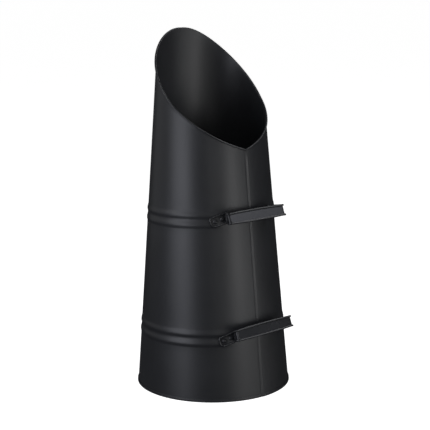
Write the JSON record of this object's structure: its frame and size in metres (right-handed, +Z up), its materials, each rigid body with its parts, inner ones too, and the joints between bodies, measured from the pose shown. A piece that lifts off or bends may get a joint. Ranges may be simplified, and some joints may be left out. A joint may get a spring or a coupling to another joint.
{
  "type": "coal scuttle",
  "caption": "Tall tapered coal hod of sheet steel with a slanted open mouth, a rolled edge, beaded rings round it, and strap handles riveted one above the other beside its seam.",
  "frame": {"origin": "on the ground, under the centre of the bounding box, so it is a little nearer the handles than the foot's own centre is", "axes": "+Z up; -Y towards the seam and the handles, where the mouth is lowest; +Y towards the high lip; +X to the right of someone who looks at the seam"},
  "size_m": [0.2192, 0.2292, 0.5014],
  "materials": {
    "body_coat": "black powder coat, satin, very fine orange peel",
    "base_coat": "black powder coat, satin",
    "handle_coat": "black powder coat, satin, thinner on the curled edges",
    "rivet_coat": "black coat over steel rivets, slightly glossier",
    "wire_steel": "drawn mild steel wire"
  },
  "bodies": {
    "root": {"body_shell": "body_coat", "rim_wire": "wire_steel", "base_pan": "base_coat", "handle_lower": "handle_coat", "handle_upper": "handle_coat", "rivet_lower_left_inner": "rivet_coat", "rivet_lower_left_outer": "rivet_coat", "rivet_lower_right_inner": "rivet_coat", "rivet_lower_right_outer": "rivet_coat", "rivet_upper_left_inner": "rivet_coat", "rivet_upper_left_outer": "rivet_coat", "rivet_upper_right_inner": "rivet_coat", "rivet_upper_right_outer": "rivet_coat"}
  },
  "joints": []
}
